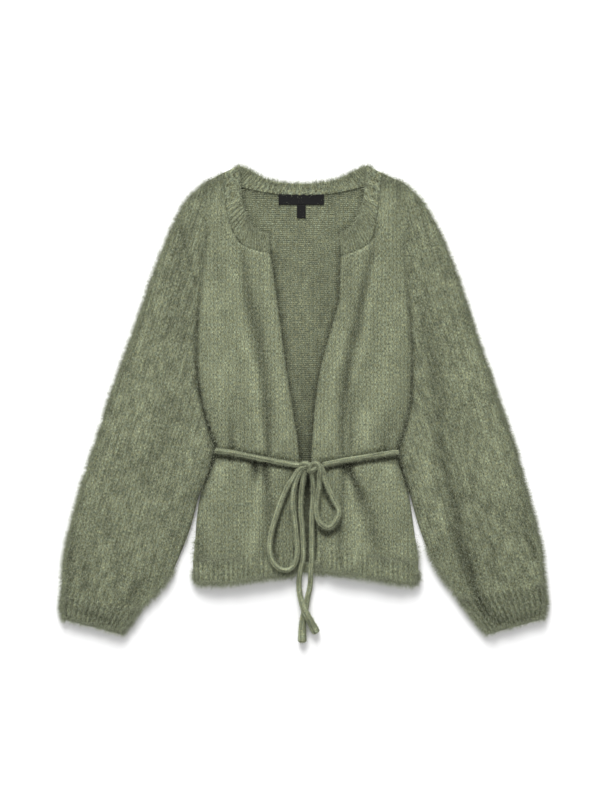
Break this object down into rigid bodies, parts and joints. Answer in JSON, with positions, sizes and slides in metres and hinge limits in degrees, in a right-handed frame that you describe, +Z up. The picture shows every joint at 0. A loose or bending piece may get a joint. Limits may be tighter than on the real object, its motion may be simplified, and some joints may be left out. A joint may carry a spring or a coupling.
{
  "type": "tie cardigan",
  "caption": "Brushed-knit cardigan laid flat, open at the front, with a round ribbed neckband, long full sleeves, deep cuffs and a cord tied in a bow at the waist.",
  "frame": {"origin": "middle of the cardigan's outline, without its tie, on the surface it lies on", "axes": "+X to the right of the laid garment as it is seen from above, +Y towards the neck, +Z up from the surface"},
  "size_m": [0.6611, 0.653, 0.0206],
  "materials": {
    "knit": "brushed heathered sage green stocking stitch with a soft nap",
    "rib_knit": "brushed heathered sage green rib",
    "tie_knit": "fuzzy knitted cord in the same yarn",
    "label_satin": "plain black woven satin, bare"
  },
  "bodies": {
    "root": {"back": "knit", "front_left": "knit", "front_right": "knit", "sleeve_left": "knit", "sleeve_right": "knit", "cuff_left": "rib_knit", "cuff_right": "rib_knit", "hem_back": "rib_knit", "hem_left": "rib_knit", "hem_right": "rib_knit", "neckband_left": "rib_knit", "neckband_right": "rib_knit", "neckband_back": "rib_knit", "neck_label": "label_satin", "size_tab": "label_satin", "tie_stretch_left": "tie_knit", "tie_stretch_right": "tie_knit", "tie_bow_left": "tie_knit", "tie_bow_right": "tie_knit", "tie_end_left": "tie_knit", "tie_end_right": "tie_knit", "tie_knot": "tie_knit"}
  },
  "joints": []
}
